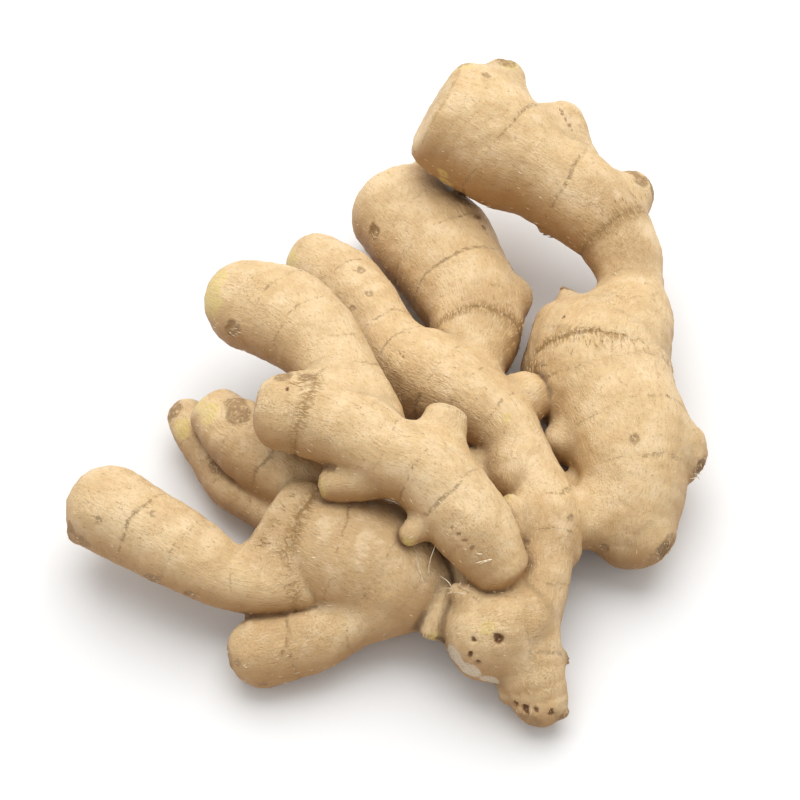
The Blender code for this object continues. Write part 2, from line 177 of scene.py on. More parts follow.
# The skin's form, in millimetres. The flesh bulges between the leaf scars and is drawn in at each; where
# fingers grow from one another the skin runs over in a fillet, which fades along the finger, and where
# two only touch it makes a narrow crease. A scar has a groove with a low lip, and wanders as it goes
# round.
CREASE = 0.7
BLUNT_EDGE = 3.5
BLUNT_FACE = -2.4, -0.2
FADE = 9.0
LUMP_HEIGHT, LUMP_LENGTH = 1.0, 15.0
RIPPLE_HEIGHT, RIPPLE_LENGTH = 0.25, 5.0
CRINKLE_HEIGHT, CRINKLE_LENGTH = 0.26, 2.4
RING_DEPTH, RING_WIDTH = 0.34, 1.3
LIP_HEIGHT, LIP_WIDTH, LIP_BEFORE = 0.16, 0.45, 0.9
FAINTEST = 0.15
FAINT_LOSS = 0.6
RING_WANDER = 1.1
SLOW_WAVE, QUICK_WAVE = 0.35, 0.25
RING_MEAN, RING_SWING = 0.6, 0.4
OPEN_CREASE = 4.0
REACH = 20.0
NO_RING = 8.0
LEAST_SLOPE = 0.2
TINY = 1e-6


def ramp(x, low, high):
    """0 below low, 1 above high, and a smooth way between."""
    t = np.clip((x - low) / (high - low), 0, 1)
    return t * t * (3 - 2 * t)


def reach(points, centres, radii, along):
    """Per point: height over the finger's skin, way out, distance from its root, and which segment."""
    height = np.full(len(points), np.inf)
    away = np.zeros_like(points)
    place = np.zeros(len(points))
    where = np.zeros(len(points), int)
    for i in range(len(centres) - 1):
        axis = centres[i + 1] - centres[i]
        t = np.clip((points - centres[i]) @ axis / (axis @ axis), 0, 1)
        offset = points - centres[i] - t[:, None] * axis
        over = np.linalg.norm(offset, axis=1) - radii[i] - t * (radii[i + 1] - radii[i])
        near = over < height
        height[near] = over[near]
        away[near] = offset[near]
        place[near] = (along[i] + t * (along[i + 1] - along[i]))[near]
        where[near] = i
    return height, away, place, where


def joined(height, outward, other, other_outward, rounding):
    """Two skins rounded into one where they meet, and the share that the other one has there."""
    share = np.clip(0.5 + 0.5 * (height - other) / rounding, 0, 1)
    both = height * (1 - share) + other * share - rounding * share * (1 - share)
    return both, outward * (1 - share)[:, None] + other_outward * share[:, None], share


def blunted(points, height, outward, end, before, past):
    """The skin with its end, past the given station, cut to a rounded face."""
    way = (end - before) / np.linalg.norm(end - before)
    beyond = (points - end) @ way - past
    inside, turned, _ = joined(-height, -outward, -beyond, np.broadcast_to(-way, outward.shape), BLUNT_EDGE)
    return -inside, -turned


def ringed(finger, place, round_x, round_y):
    """Relief of a finger's leaf scars, and how far each point is from the nearest plain and frayed one."""
    relief = np.zeros(len(place))
    plain = np.full(len(place), NO_RING)
    torn = np.full(len(place), NO_RING)
    draw = random.Random(len(finger["spine"][0]))
    for ring in finger.get("rings", ()):
        tilt = draw.uniform(-RING_WANDER, RING_WANDER), draw.uniform(-RING_WANDER, RING_WANDER)
        turn = draw.uniform(0, 6.28)
        strength = draw.uniform(FAINTEST, 1)
        past = place - ring - tilt[0] * round_x - tilt[1] * round_y
        angle = np.arctan2(round_y, round_x)
        past -= SLOW_WAVE * np.sin(3 * angle + turn) + QUICK_WAVE * np.sin(7 * angle + 2 * turn)
        if ring in finger.get("frayed", ()):
            torn = np.minimum(torn, np.abs(past))
            strength = 1
        shown = strength * (RING_MEAN + RING_SWING * np.sin(2 * angle + 3 * turn))
        relief -= RING_DEPTH * shown * np.exp(-(past / RING_WIDTH) ** 2)
        relief += LIP_HEIGHT * shown * np.exp(-((past + LIP_BEFORE) / LIP_WIDTH) ** 2)
        plain = np.minimum(plain, np.abs(past) + FAINT_LOSS * (1 - shown))
    return relief, plain, torn


def finger_skin(points, finger, closely):
    """Height of each point over one finger's skin, the way out, its fillet there and, closely, its marks."""
    count = len(points)
    centres, radii, along = finger["spine"]
    low = centres.min(axis=0) - radii.max() - REACH
    high = centres.max(axis=0) + radii.max() + REACH
    near = np.all((points > low) & (points < high), axis=1)
    over, away, place, where = reach(points[near], centres, radii, along)
    out = away / np.maximum(np.linalg.norm(away, axis=1), TINY)[:, None]
    blunt = np.zeros(len(over))
    if "tip_end" in finger:
        over, out = blunted(points[near], over, out, centres[-1], centres[-2], finger["tip_end"])
        way = (centres[-1] - centres[-2]) / np.linalg.norm(centres[-1] - centres[-2])
        blunt = ramp((points[near] - centres[-1]) @ way - finger["tip_end"], *BLUNT_FACE)
    if "root_end" in finger:
        over, out = blunted(points[near], over, out, centres[0], centres[1], finger["root_end"])
    height = np.full(count, 2 * REACH)
    outward = np.zeros((count, 3))
    rounding = np.full(count, CREASE)
    height[near] = over
    outward[near] = out
    leaves = radii[0] + finger["fillet"]
    fading = ramp(place, 0, 0.5 * radii[0]) * (1 - ramp(place, leaves, leaves + FADE))
    rounding[near] += (finger["fillet"] - CREASE) * fading
    if not closely:
        return height, outward, rounding, {}
    tangents, sides = finger["frames"]
    tangent, side = tangents[where], sides[where]
    beyond = (away * tangent).sum(axis=1)
    flat = away - beyond[:, None] * tangent
    flat /= np.maximum(np.linalg.norm(flat, axis=1), TINY)[:, None]
    round_x = (flat * side).sum(axis=1)
    round_y = (flat * np.cross(tangent, side)).sum(axis=1)
    relief, ring, torn = ringed(finger, place + beyond, round_x, round_y)
    grain = np.column_stack([round_x * radii.mean(), round_y * radii.mean(), place + beyond])
    marks = dict(relief=np.zeros(count), ring=np.full(count, NO_RING), torn=np.full(count, NO_RING),
                 grain=np.zeros((count, 3)), heading=np.zeros((count, 3)), gap=np.full(count, NO_RING),
                 blunt=np.zeros(count))
    for name, values in dict(relief=relief, ring=ring, torn=torn, grain=grain, heading=tangent,
                             blunt=blunt).items():
        marks[name][near] = values
    return height, outward, rounding, marks


def united(first, second, rounding):
    """Two skins and their marks as one. The mark called gap is how far the nearest crease is; where both
    skins face the same way there is none."""
    height, outward, share = joined(first[0], first[1], second[0], second[1], rounding)
    marks = {}
    for name, values in second[2].items():
        part = share[:, None] if values.ndim == 2 else share
        marks[name] = first[2][name] * (1 - part) + values * part
    if marks:
        facing = (first[1] * second[1]).sum(axis=1)
        crease = np.maximum(first[0], second[0]) + rounding - CREASE + OPEN_CREASE * ramp(facing, 0.0, 0.6)
        marks["gap"] = np.minimum(np.minimum(first[2]["gap"], second[2]["gap"]), crease)
    return height, outward, marks


def skin(points, closely=False):
    """Height of each point over the whole root's skin and the way out there; closely, also its marks."""
    whole = None
    for name, finger in FINGERS.items():
        if "on" in finger:
            continue
        height, outward, rounding, marks = finger_skin(points, finger, closely)
        limb = height, outward, marks
        for bud in FINGERS.values():
            if bud.get("on") == name:
                height, outward, bud_rounding, marks = finger_skin(points, bud, closely)
                limb = united(limb, (height, outward, marks), bud_rounding)
        whole = limb if whole is None else united(whole, limb, rounding)
    return whole


def unevenness(points):
    """Broad lumps and finer ripples of the skin, the same at every run."""
    return np.array([LUMP_HEIGHT * noise.noise(Vector(p) / LUMP_LENGTH)
                     + RIPPLE_HEIGHT * noise.noise(Vector(p) / RIPPLE_LENGTH)
                     + CRINKLE_HEIGHT * noise.noise(Vector(p) / CRINKLE_LENGTH) for p in points])


SETTLING_ROUNDS = 6
LONGEST_STEP = 1.3


def settled(points):
    """The points drawn onto the skin's form, and the way out at each."""
    for _ in range(SETTLING_ROUNDS):
        height, outward, _ = skin(points)
        slope = np.maximum((outward ** 2).sum(axis=1), LEAST_SLOPE)
        points = points - np.clip(height / slope, -LONGEST_STEP, LONGEST_STEP)[:, None] * outward
    return points, outward / np.maximum(np.linalg.norm(outward, axis=1), TINY)[:, None]


# The skin's marks: round scars where buds sat, holes of dead roots, cork on worn tips, patches where the
# yellow flesh or a white fresh cut shows, wrinkled stretches, broad stretches of browner skin that are in
# part painted shade on low parts and under other fingers, and cracks as rows of small spots. Each has its
# place in mm and its size, and the widths and edges below are shares of that size.
MARKS = {
    "eye": [
        (27, 71, 60, 1.6), (64, -34, 34, 1.7), (46, -54, 27, 1.2), (83, -34, 20, 3.0), (46, -86, 13, 1.8),
        (-5, 46, 22, 2.7), (-8, 27, 28, 1.7), (-6, 18, 31, 1.3), (-11, 14, 28, 1.0), (-42, -2, 39, 2.6),
        (-60, -67, 19, 2.6), (-51, -71, 18, 1.8), (-60, -55, 31, 1.1), (-74, -56, 29, 1.1),
        (-47, -30, 15, 2.4), (-38, -88, 13, 1.2), (-32, -92, 8, 1.5), (72, -58, 17, 3.0),
        (56, -58, 17, 1.4), (12, -85, 14, 1.8), (12, 60, 31, 1.2), (36, 33, 24, 1.5)],
    "hole": [
        (47, 5, 36, 0.8), (32, -98, 10, 0.8), (34, -100, 11, 1.0), (37, -101, 12, 0.6), (41, -101, 11, 0.8),
        (45, -100, 8, 0.6), (27, -88, 26, 1.4), (21, -88, 25, 0.6), (20, -91, 22, 1.0), (22, -93, 20, 0.8),
        (-26, -31, 53, 0.7), (-43, -2, 37, 0.6), (47, -87, 11, 0.6)],
    "yellow": [
        (16, 53, 36, 4), (15, 52, 41, 3), (24, -86, 28, 3), (-20, -51, 36, 4.5), (5, -65, 34, 2.6),
        (-49, 5, 42, 6), (-50, 9, 43, 6), (-48, 12, 45, 5), (-29, 36, 21, 4), (-30, 40, 20, 4),
        (31, -27, 34, 2), (-57, -18, 15, 5), (-51, -17, 26, 5), (-48, -22, 28, 5), (30, -49, 31, 3),
        (11, -85, 14, 4.5), (21, 76, 60, 4), (30, -95, 6, 3), (34, 82, 52, 4)],
    "cork": [
        (71, 52, 38, 3.5), (69, 55, 37, 3), (76, 52, 34, 3), (-40, -24, 31, 4.5), (-41, -20, 30, 4),
        (-60, -11, 14, 4.5), (-85, -52, 18, 4), (-83, -54, 22, 3), (-80, -57, 20, 3.5), (12, -85, 12, 2.5),
        (-27, -25, 51, 3.5), (-21, -26, 52, 3), (74, -57, 17, 4), (45, -101, 7, 3.5), (36, -100, 7, 4.5),
        (84, -33, 20, 3.5), (50, 24, 22, 3), (33, 82, 50, 4), (20, 79, 58, 3.5), (-46, -87, 11, 4)],
    "white": [(15, -89, 17, 4.2), (20, -92, 15, 4.2), (25, -94, 12, 3.6)],
    "wrinkle": [
        (-32, -33, 50, 6), (-25, -38, 50, 6), (-17, -43, 49, 5), (25, 13, 32, 6), (30, 8, 30, 6),
        (33, 6, 26, 5), (57, 43, 41, 8), (63, 36, 39, 8), (67, 28, 37, 7), (17, -65, 41, 7),
        (23, -70, 37, 7), (-38, 8, 48, 6), (62, 12, 37, 7), (35, -82, 24, 7), (38, -94, 17, 8),
        (-30, -86, 17, 12), (-18, -83, 19, 8), (-6, -76, 26, 8), (-30, -63, 28, 9), (27, -86, 27, 8)],
    "brown": [
        (-10, -62, 32, 25), (-25, -60, 28, 14), (-28, -86, 16, 17), (41, -60, 28, 13), (38, -74, 22, 12),
        (36, -86, 22, 10), (-50, -24, 15, 13), (-38, -32, 24, 10), (27, 14, 31, 11), (62, 40, 38, 11),
        (68, 26, 36, 9), (22, -70, 36, 10), (6, -76, 24, 9), (-35, -37, 26, 7)],
    "crack": [
        (49, 69, 49, 0.6), (49.5, 67.5, 48.5, 0.8), (50, 66, 48, 0.7), (51, 64.5, 47, 0.7),
        (52, 63, 46.5, 0.5), (16, -64.5, 40.5, 0.4), (17.5, -66, 39.5, 0.6), (19, -67, 38.7, 0.5),
        (21, -69, 37.7, 0.6), (23, -70, 36.8, 0.4), (1, -6, 35.5, 0.4), (2, -6.7, 35.3, 0.5),
        (3, -7.3, 35, 0.4), (4.5, -8, 35, 0.4)],
}
WRINKLE_HEIGHT, WRINKLE_LENGTH = 0.4, 1.7
LEAST_WRINKLE = 0.05
RAGGED, RAGGED_LENGTH = 0.45, 1.6
EYE_DEPTH, EYE_RIM, EYE_RIM_WIDTH, EYE_BOWL_WIDTH = 0.2, 0.8, 0.3, 0.6
EYE_DARK_AT, EYE_DARK_WIDTH = 0.55, 0.5
HOLE_DEPTH, HOLE_WALL = 1.1, (0.45, 1.05)
HOLE_RIM, HOLE_RIM_AT, HOLE_RIM_WIDTH = 0.2, 1.25, 0.25
HOLE_EDGE, CRACK_EDGE, PATCH_EDGE = (0.6, 1.15), (0.7, 1.5), (0.35, 1.1)
CRACK_DEPTH = 0.3
for kind, spots in MARKS.items():
    spots = np.array(spots, float)
    spots[:, :3] = settled(spots[:, :3])[0]
    MARKS[kind] = spots


def marked(points):
    """How strongly each kind of mark shows at each point, and the relief that they make together."""
    shown = {}
    relief = np.zeros(len(points))
    for kind, spots in MARKS.items():
        strength = np.zeros(len(points))
        for *spot, size in spots:
            away = np.linalg.norm(points - spot, axis=1) / size
            if kind in ("eye", "hole", "crack"):
                near = np.nonzero(away < 2)[0]
                ragged = [noise.noise(Vector(points[i]) / RAGGED_LENGTH) for i in near]
                away[near] *= 1 + RAGGED * np.array(ragged)
            if kind == "eye":
                rim = EYE_RIM * np.exp(-((away - 1) / EYE_RIM_WIDTH) ** 2)
                relief += EYE_DEPTH * size * (rim - np.exp(-(away / EYE_BOWL_WIDTH) ** 2))
                strength = np.maximum(strength, np.exp(-((away - EYE_DARK_AT) / EYE_DARK_WIDTH) ** 2))
            elif kind == "hole":
                rim = HOLE_RIM * np.exp(-((away - HOLE_RIM_AT) / HOLE_RIM_WIDTH) ** 2)
                relief += rim - HOLE_DEPTH * size * (1 - ramp(away, *HOLE_WALL))
                strength = np.maximum(strength, 1 - ramp(away, *HOLE_EDGE))
            elif kind == "crack":
                strength = np.maximum(strength, 1 - ramp(away, *CRACK_EDGE))
            else:
                strength = np.maximum(strength, 1 - ramp(away, *PATCH_EDGE))
        shown[kind] = strength
    relief -= CRACK_DEPTH * shown["crack"]
    for i in np.nonzero(shown["wrinkle"] + shown["cork"] > LEAST_WRINKLE)[0]:
        rough = max(shown["wrinkle"][i], shown["cork"][i])
        relief[i] += WRINKLE_HEIGHT * rough * noise.noise(Vector(points[i]) / WRINKLE_LENGTH)
    return relief, shown


# The skin's mesh. Balls fill every finger, a voxel remesh unites them, and each corner is drawn onto the
# skin's form. The faces are then made finer, once along the torn rings, twice at eyes and three times at
# holes and cracks, before the relief goes on.
VOXEL = 1.1
FINE_RING = 1.0
FINE_MARK = 0.25
SHADE_FRONT_SHARE = 0.4
SHADE_FROM_TO = -0.74, 0.42


def applied(mesh, name, **settings):
    """A copy of the mesh with one modifier applied."""
    holder = bpy.data.objects.new("holder", mesh)
    bpy.context.scene.collection.objects.link(holder)
    modifier = holder.modifiers.new(name, name)
    for key, value in settings.items():
        setattr(modifier, key, value)
    depsgraph = bpy.context.evaluated_depsgraph_get()
    result = bpy.data.meshes.new_from_object(holder.evaluated_get(depsgraph))
    bpy.data.objects.remove(holder)
    bpy.data.meshes.remove(mesh)
    return result


def corners(mesh):
    flat = np.empty(len(mesh.vertices) * 3)
    mesh.vertices.foreach_get("co", flat)
    return flat.reshape(-1, 3)


def move_corners(mesh, points):
    mesh.vertices.foreach_set("co", points.ravel())
    mesh.update()


def ball_sizes(finger):
    """Radii of the balls that fill a finger, smaller towards an end that is cut blunt."""
    _, radii, along = finger["spine"]
    if "tip_end" in finger:
        radii = np.minimum(radii, along[-1] - along + finger["tip_end"] + BLUNT_EDGE)
    if "root_end" in finger:
        radii = np.minimum(radii, along + finger["root_end"] + BLUNT_EDGE)
    return radii


bm = bmesh.new()
for finger in FINGERS.values():
    for centre, radius in zip(finger["spine"][0], ball_sizes(finger)):
        bmesh.ops.create_icosphere(bm, subdivisions=2, radius=radius, matrix=Matrix.Translation(centre))
mesh = bpy.data.meshes.new("ginger_skin")
bm.to_mesh(mesh)
bm.free()
mesh = applied(mesh, "REMESH", mode="VOXEL", voxel_size=VOXEL)
points, _ = settled(corners(mesh))
move_corners(mesh, points)
mesh = applied(mesh, "SMOOTH", factor=0.5, iterations=3)

for kinds in (("eye", "hole", "ring", "crack"), ("eye", "hole", "crack"), ("hole", "crack")):
    points = corners(mesh)
    shown = marked(points)[1]
    shown["ring"] = skin(points, closely=True)[2]["torn"] < FINE_RING
    fine = np.max([shown[kind] > FINE_MARK for kind in kinds], axis=0)
    bm = bmesh.new()
    bm.from_mesh(mesh)
    edges = [edge for edge in bm.edges if all(fine[v.index] for v in edge.verts)]
    bmesh.ops.subdivide_edges(bm, edges=edges, cuts=1, use_grid_fill=True)
    bmesh.ops.triangulate(bm, faces=bm.faces)
    bm.to_mesh(mesh)
    bm.free()

points = corners(mesh)
_, skin_outward, marks = skin(points, closely=True)
skin_outward /= np.maximum(np.linalg.norm(skin_outward, axis=1), TINY)[:, None]
relief, shown = marked(points)
marks.update(shown)
# Painted shade: how far each corner faces down or to the front, which the finish darkens in the skin's
# colour.
marks["under"] = ramp(-skin_outward[:, 2] - SHADE_FRONT_SHARE * skin_outward[:, 1], *SHADE_FROM_TO)
points = points + (unevenness(points) + marks["relief"] + relief)[:, None] * skin_outward

# Its place. The root lies as its imported solid does, and no corner passes that solid's box. Each corner
# keeps its marks for the skin's finish; the one called under is how far it faces down or to the front,
# where the finish paints shade into the skin's colour, and the one called gap, how near a crease is, where
# it paints crease shade.
low, high = (np.array(corner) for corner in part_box("ginger_root"))
middle = (points.min(axis=0) + points.max(axis=0)) / 2
shift = (low + high) / 2 - middle * MM
shift[2] = 0
move_corners(mesh, np.clip(points * MM + shift, low, high))
for name in ("ring", "torn", "gap", "blunt", "under", *MARKS):
    mesh.attributes.new(name, "FLOAT", "POINT").data.foreach_set("value", marks[name])
mesh.attributes.new("grain", "FLOAT_VECTOR", "POINT").data.foreach_set("vector", marks["grain"].ravel())
mesh.name = "ginger_skin"
mesh.shade_smooth()
root = bpy.data.objects.new("ginger_skin", mesh)
bpy.context.scene.collection.objects.link(root)


class Wire:
    """One value in a material. Sums and products of wires add the Math nodes that work them out."""

    def __init__(self, tree, socket=None):
        self.tree = tree
        self.socket = socket

    def node(self, kind, settings=None, inputs=None, output=0):
        """A new node: its settings first, then its sockets' values or wires; gives one output's wire."""
        made = self.tree.nodes.new("ShaderNode" + kind)
        for name, value in (settings or {}).items():
            setattr(made, name, value)
        for name, value in (inputs or {}).items():
            if isinstance(value, Wire):
                self.tree.links.new(value.socket, made.inputs[name])
            else:
                made.inputs[name].default_value = value
        return Wire(self.tree, made.outputs[output])

    def math(self, operation, first, second):
        return self.node("Math", dict(operation=operation), {0: first, 1: second})

    def __add__(self, other):
        return self.math("ADD", self, other)

    def __radd__(self, other):
        return self.math("ADD", other, self)

    def __sub__(self, other):
        return self.math("SUBTRACT", self, other)

    def __rsub__(self, other):
        return self.math("SUBTRACT", other, self)

    def __mul__(self, other):
        return self.math("MULTIPLY", self, other)

    def __rmul__(self, other):
        return self.math("MULTIPLY", other, self)

    def rise(self, low, high):
        """0 below low, 1 above high; low may be the greater one."""
        return self.node("MapRange", dict(interpolation_type="SMOOTHSTEP"),
                         {"Value": self, "From Min": low, "From Max": high})

    def blend(self, first, second):
        """The first colour where this wire is 0, the second where it is 1."""
        return self.node("Mix", dict(data_type="RGBA"), {0: self, 6: first, 7: second}, output=2)

    def attribute(self, name, output="Fac"):
        return self.node("Attribute", dict(attribute_name=name), output=output)

    def stretched(self, scale):
        return self.node("VectorMath", dict(operation="MULTIPLY"), {0: self, 1: scale})

    def speckle(self, scale, detail=2.0, roughness=0.5):
        """Soft noise at the vector's points."""
        return self.node("TexNoise", inputs={"Vector": self, "Scale": scale, "Detail": detail,
                                             "Roughness": roughness})


def colour(*rgb):
    return (*rgb, 1)


# The skin's finish: thin, pale, papery cork over yellow flesh. Short fibres run along each finger with
# raised pale flecks and brown specks between them, and the leaf scars are thin brown broken lines. The
# colour is built in layers, each with where it shows, how strongly, and its tone. Some layers are painted
# shade: on faces turned down or to the front, in the creases, and in part of the browner stretches.
material = bpy.data.materials.new("ginger skin")
material.use_nodes = True
tree = material.node_tree
shader = tree.nodes["Principled BSDF"]
wire = Wire(tree)
grain = wire.attribute("grain", "Vector")
spot = wire.node("TexCoord", output="Object").stretched((1 / MM, 1 / MM, 1 / MM))
broad = spot.speckle(0.045, 2.0)
patch = spot.speckle(0.17, 3.0)
cell = spot.speckle(0.75, 3.0, 0.6)
crumble = spot.speckle(2.1, 3.0, 0.65)
strokes = grain.stretched((1.0, 1.0, 0.38)).speckle(1.5, 3.0, 0.6)
threads = grain.stretched((1.0, 1.0, 0.22)).speckle(2.6, 2.0, 0.5)
ring = wire.attribute("ring")
torn = wire.attribute("torn")
blunt = wire.attribute("blunt")
edge = blunt * (1 - blunt) * 4
wander = (crumble - 0.5) * 1.4
line = (ring + wander).rise(0.85, 0.15) * cell.rise(0.36, 0.52)
streaks = (torn + wander * 2.5).rise(3.2, 0.2) * threads.rise(0.42, 0.58)
yellow = (wire.attribute("yellow") + wander * 0.35).rise(0.35, 0.9) * cell.rise(0.25, 0.6)
cork = (wire.attribute("cork") + edge * 0.45 + wander * 0.4).rise(0.25, 0.85) * cell.rise(0.3, 0.55)
wrinkle = wire.attribute("wrinkle") * crumble.rise(0.45, 0.62)
cut = (wire.attribute("white") + wander * 0.3).rise(0.35, 0.7) * crumble.rise(0.3, 0.5)
eye = (wire.attribute("eye") + wander * 0.3).rise(0.35, 0.9)
base = broad.rise(0.35, 0.65).blend(colour(0.70, 0.495, 0.255), colour(0.76, 0.56, 0.315))
layers = [
    # Browner stretches of skin, in part painted shade on low parts and under other fingers.
    (wire.attribute("brown"), 0.7, (0.50, 0.325, 0.155)),
    (patch.rise(0.45, 0.68), 0.6, (0.60, 0.395, 0.19)),
    ((1 - patch).rise(0.5, 0.7), 0.55, (0.80, 0.61, 0.38)),
    (cell.rise(0.5, 0.7), 0.3, (0.54, 0.35, 0.16)),
    (strokes.rise(0.52, 0.7), 0.36, (0.46, 0.285, 0.12)),
    ((1 - strokes).rise(0.55, 0.74), 0.34, (0.86, 0.69, 0.45)),
    ((crumble * threads).rise(0.33, 0.41), 0.6, (0.34, 0.195, 0.075)),
    # Painted shade: the skin darkened where it faces down or to the front.
    (wire.attribute("under"), 0.85, (0.35, 0.17, 0.05)),
    (line, 0.65, (0.31, 0.18, 0.075)),
    (streaks, 0.8, (0.40, 0.22, 0.07)),
    (yellow, 0.6, (0.70, 0.55, 0.17)),
    (cork, 0.8, (0.36, 0.215, 0.10)),
    (wrinkle, 0.5, (0.40, 0.24, 0.10)),
    (cut, 0.7, (0.68, 0.60, 0.47)),
    (eye, 0.6, (0.27, 0.165, 0.08)),
    (wire.attribute("hole").rise(0.2, 0.7), 0.9, (0.20, 0.09, 0.035)),
    (wire.attribute("crack").rise(0.3, 0.8), 0.7, (0.25, 0.13, 0.045)),
    # Painted shade: the skin darkened towards the creases where fingers meet.
    (wire.attribute("gap").rise(2.6, 0.0), 0.85, (0.15, 0.065, 0.02)),
]
for shown_where, strength, rgb in layers:
    base = (shown_where * strength).blend(base, colour(*rgb))
tree.links.new(base.socket, shader.inputs["Base Color"])
rough = 0.44 + 0.14 * patch + 0.3 * cork + 0.1 * cell
tree.links.new(rough.socket, shader.inputs["Roughness"])
relief = strokes * 0.6 + threads * 0.45 + crumble * 0.5 + cell * 0.4
relief = relief + cork * crumble - line * 0.5 - streaks * 0.5
bump = wire.node("Bump", inputs={"Strength": 0.85, "Distance": 0.6 * MM, "Height": relief})
tree.links.new(bump.socket, shader.inputs["Normal"])
shader.inputs["Specular IOR Level"].default_value = 0.4
shader.inputs["Subsurface Weight"].default_value = 0.1
shader.inputs["Subsurface Radius"].default_value = (1.0, 0.5, 0.2)
shader.inputs["Subsurface Scale"].default_value = 2.0 * MM
mesh.materials.clear()
mesh.materials.append(material)
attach(root, "root")
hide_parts("ginger_root")

# The dressing. Dry strands of one make are gathered into one object; they are made in batches, because
# the mesh operators slow down as a mesh grows.
BATCH = 100


def strand(bm, path, outward, widths, flatness):
    """A tapering three-sided strand along a path, flat against the skin below it."""
    path = [Vector(point) for point in path]
    shape = Matrix.Identity(4)
    ends = bmesh.ops.create_circle(bm, segments=3, radius=1)["verts"]
    edges = list({edge for corner in ends for edge in corner.link_edges})
    for i, (point, width) in enumerate(zip(path, widths)):
        if i:
            grown = bmesh.ops.extrude_edge_only(bm, edges=edges)["geom"]
            ends = [part for part in grown if isinstance(part, bmesh.types.BMVert)]
            edges = [part for part in grown if isinstance(part, bmesh.types.BMEdge)]
        along = (path[min(i + 1, len(path) - 1)] - path[max(i - 1, 0)]).normalized()
        across = along.cross(Vector(outward)).normalized()
        turned = Matrix((across, across.cross(along), along)).transposed().to_4x4()
        placed = Matrix.Translation(point) @ turned @ Matrix.Diagonal((width, width * flatness, 1, 1))
        bmesh.ops.transform(bm, matrix=placed @ shape.inverted(), verts=ends)
        shape = placed


def dressing(name, strands, rgb, paler):
    """An object of dry strands made in station millimetres, with its own simple finish."""
    whole = bmesh.new()
    for first in range(0, len(strands), BATCH):
        bm = bmesh.new()
        for path, outward, widths, flatness in strands[first:first + BATCH]:
            strand(bm, path, outward, widths, flatness)
        batch = bpy.data.meshes.new("batch")
        bm.to_mesh(batch)
        bm.free()
        whole.from_mesh(batch)
        bpy.data.meshes.remove(batch)
    mesh = bpy.data.meshes.new(name)
    whole.to_mesh(mesh)
    whole.free()
    move_corners(mesh, np.clip(corners(mesh) * MM + shift, low, high))
    material = bpy.data.materials.new(name.replace("_", " "))
    material.use_nodes = True
    shader = material.node_tree.nodes["Principled BSDF"]
    wire = Wire(material.node_tree)
    tone = wire.node("TexCoord", output="Object").speckle(0.9 / MM, 2.0)
    base = tone.rise(0.35, 0.65).blend(colour(*rgb), colour(*paler))
    material.node_tree.links.new(base.socket, shader.inputs["Base Color"])
    shader.inputs["Roughness"].default_value = 0.6
    shader.inputs["Specular IOR Level"].default_value = 0.3
    mesh.materials.append(material)
    piece = bpy.data.objects.new(name, mesh)
    bpy.context.scene.collection.objects.link(piece)
    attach(piece, "root")
    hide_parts("ginger_root")


# The torn rings' fibres. Where a leaf sheath has worn away, the ends of its fibres still stand along the
# scar as a ragged brown fringe that lies over the skin towards the finger's tip.
FIBRE_SPACING, SPACING_ERROR = 0.75, 0.03
AHEAD = -1.6, 1.0
CLUMP_LENGTH, BARE_BELOW = 3.0, (-0.45, 0.25)
FIBRE_LENGTH, FIBRE_LEAN, FIBRE_LIFT, FIBRE_WIDTH = (1.2, 3.8), 0.5, (0.05, 0.45), (0.09, 0.2)
draw = random.Random(5)
starts, headings = [], []
for finger in FINGERS.values():
    centres, radii, along = finger["spine"]
    tangents, sides = finger["frames"]
    for ring in finger.get("frayed", ()):
        i = min(int(np.searchsorted(along, ring)), len(along) - 1)
        for turn in np.arange(0, 2 * math.pi, FIBRE_SPACING / radii[i]):
            turn += draw.uniform(-SPACING_ERROR, SPACING_ERROR)
            around = math.cos(turn) * sides[i] + math.sin(turn) * np.cross(tangents[i], sides[i])
            ahead = draw.uniform(*AHEAD)
            starts.append(centres[i] + around * radii[i] + tangents[i] * ahead)
            headings.append(tangents[i])
starts, outward = settled(np.array(starts))
strands = []
for start, heading, out in zip(starts, headings, outward):
    if noise.noise(Vector(start) / CLUMP_LENGTH) < draw.uniform(*BARE_BELOW):
        continue
    heading = heading - (heading @ out) * out
    sideways = np.cross(heading, out)
    length = draw.uniform(*FIBRE_LENGTH)
    lean = draw.uniform(-FIBRE_LEAN, FIBRE_LEAN)
    lift = draw.uniform(*FIBRE_LIFT)
    path = [start + heading * length * t + sideways * lean * length * t * t + out * (lift * t - 0.05)
            for t in (0, 0.4, 0.75, 1)]
    width = draw.uniform(*FIBRE_WIDTH)
    strands.append((path, out, (width, width * 0.9, width * 0.6, 0.02), 0.5))
dressing("ring_fibres", strands, (0.36, 0.20, 0.07), (0.66, 0.49, 0.27))

# Flecks of the outer skin that have dried and lifted all over the root, lying lengthwise.
FLECKS = 2600
FLECK_LEAN, FLECK_LENGTH, FLECK_LIFT, FLECK_WIDTH = 0.6, (0.5, 1.7), (0.05, 0.25), (0.08, 0.2)
SUNK = 0.06
draw = random.Random(8)
strands = []
for i in draw.sample(range(len(points)), FLECKS):
    out, heading = Vector(skin_outward[i]), Vector(marks["heading"][i])
    heading = (heading - heading.dot(out) * out).normalized()
    heading = heading + heading.cross(out) * draw.uniform(-FLECK_LEAN, FLECK_LEAN)
    length, lift = draw.uniform(*FLECK_LENGTH), draw.uniform(*FLECK_LIFT)
    start = Vector(points[i]) - SUNK * out
    width = draw.uniform(*FLECK_WIDTH)
    path = [start, start + heading * length * 0.5 + out * lift, start + heading * length + out * lift * 0.6]
    strands.append((path, out, (width * 0.5, width, 0.02), 0.45))
dressing("skin_flecks", strands, (0.60, 0.42, 0.22), (0.80, 0.65, 0.44))

